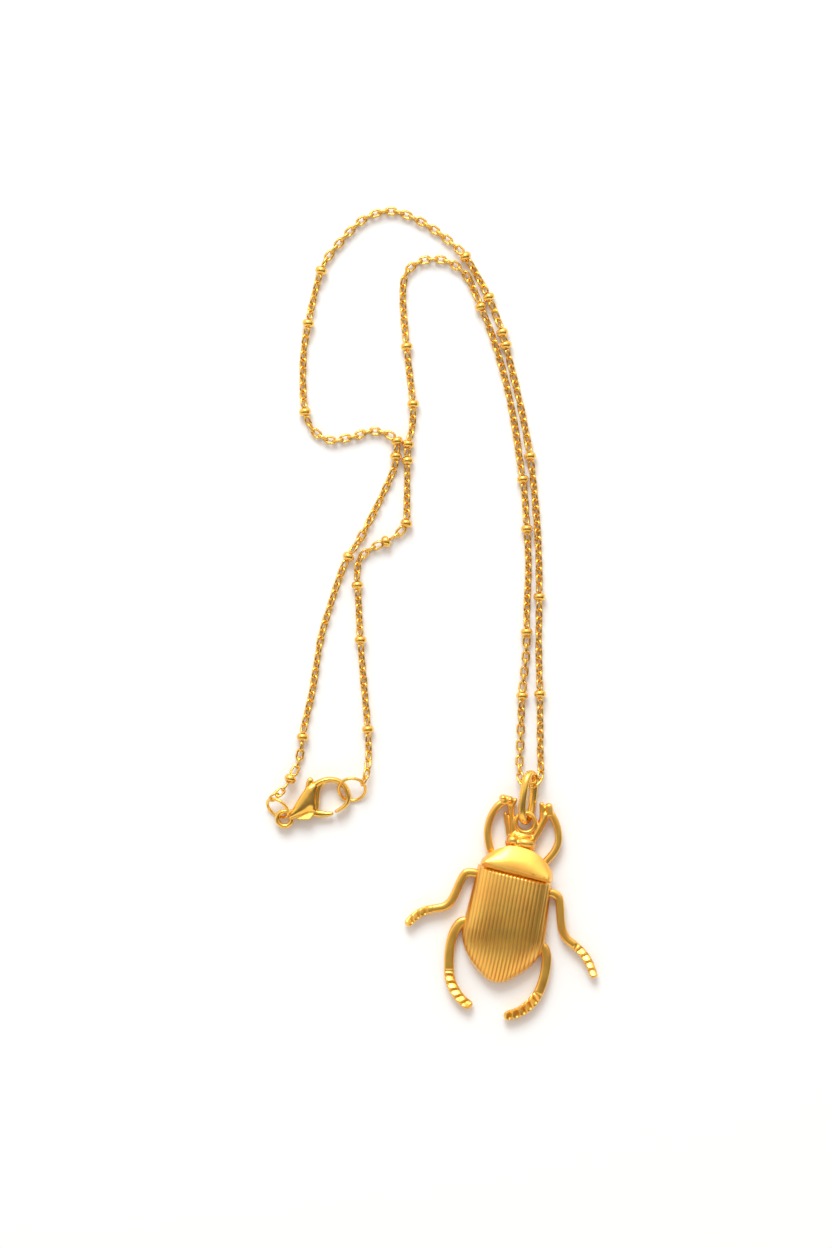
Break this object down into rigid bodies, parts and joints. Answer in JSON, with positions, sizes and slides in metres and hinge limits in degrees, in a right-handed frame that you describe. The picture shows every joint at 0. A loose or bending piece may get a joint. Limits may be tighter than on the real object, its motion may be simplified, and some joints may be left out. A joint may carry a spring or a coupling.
{
  "type": "scarab pendant necklace",
  "caption": "Gold scarab beetle pendant on a fine cable chain with threaded rondelle beads, an oval bail and a lobster clasp, lying loose in a long loop.",
  "frame": {"origin": "centre of the bounding box at the table that the necklace lies on", "axes": "+Y from the beetle's hind feet towards the top of the chain's loop, +Z up from the table, +X to the right as seen from above with +Y up"},
  "size_m": [0.0581, 0.142, 0.0053],
  "materials": {
    "satin_gold": "satin yellow gold, softly brushed by the casting",
    "polished_gold": "polished yellow gold",
    "chain_gold": "bright yellow gold of drawn wire"
  },
  "bodies": {
    "necklace": {"bail": "polished_gold", "bead_01": "chain_gold", "bead_02": "chain_gold", "bead_03": "chain_gold", "bead_04": "chain_gold", "bead_05": "chain_gold", "bead_06": "chain_gold", "bead_07": "chain_gold", "bead_08": "chain_gold", "bead_09": "chain_gold", "bead_10": "chain_gold", "bead_11": "chain_gold", "bead_12": "chain_gold", "bead_13": "chain_gold", "bead_14": "chain_gold", "bead_15": "chain_gold", "bead_16": "chain_gold", "bead_17": "chain_gold", "bead_18": "chain_gold", "bead_19": "chain_gold", "bead_20": "chain_gold", "bead_21": "chain_gold", "bead_22": "chain_gold", "bead_23": "chain_gold", "bead_24": "chain_gold", "bead_25": "chain_gold", "bead_26": "chain_gold", "bead_27": "chain_gold", "bead_28": "chain_gold", "bead_29": "chain_gold", "chain_run_01": "chain_gold", "chain_run_02": "chain_gold", "chain_run_03": "chain_gold", "chain_run_04": "chain_gold", "chain_run_05": "chain_gold", "chain_run_06": "chain_gold", "chain_run_07": "chain_gold", "chain_run_08": "chain_gold", "chain_run_09": "chain_gold", "chain_run_10": "chain_gold", "chain_run_11": "chain_gold", "chain_run_12": "chain_gold", "chain_run_13": "chain_gold", "chain_run_14": "chain_gold", "chain_run_15": "chain_gold", "chain_run_16": "chain_gold", "chain_run_17": "chain_gold", "chain_run_18": "chain_gold", "chain_run_19": "chain_gold", "chain_run_20": "chain_gold", "chain_run_21": "chain_gold", "chain_run_22": "chain_gold", "chain_run_23": "chain_gold", "clasp_body": "polished_gold", "hook_end_link": "chain_gold", "hook_jump_ring": "polished_gold", "scarab": "satin_gold", "tail_end_link": "chain_gold", "tail_jump_ring": "polished_gold"},
    "gate": {"clasp_gate": "polished_gold"}
  },
  "joints": [
    {"name": "gate_hinge", "type": "hinge", "parent": "necklace", "child": "gate", "pos_m": [-0.02157, -0.03403, 0.0012], "axis": [0, 0, 1], "range_deg": [0, 24], "stiffness_Nm_per_rad": 0.004, "springref_deg": -28.65}
  ]
}
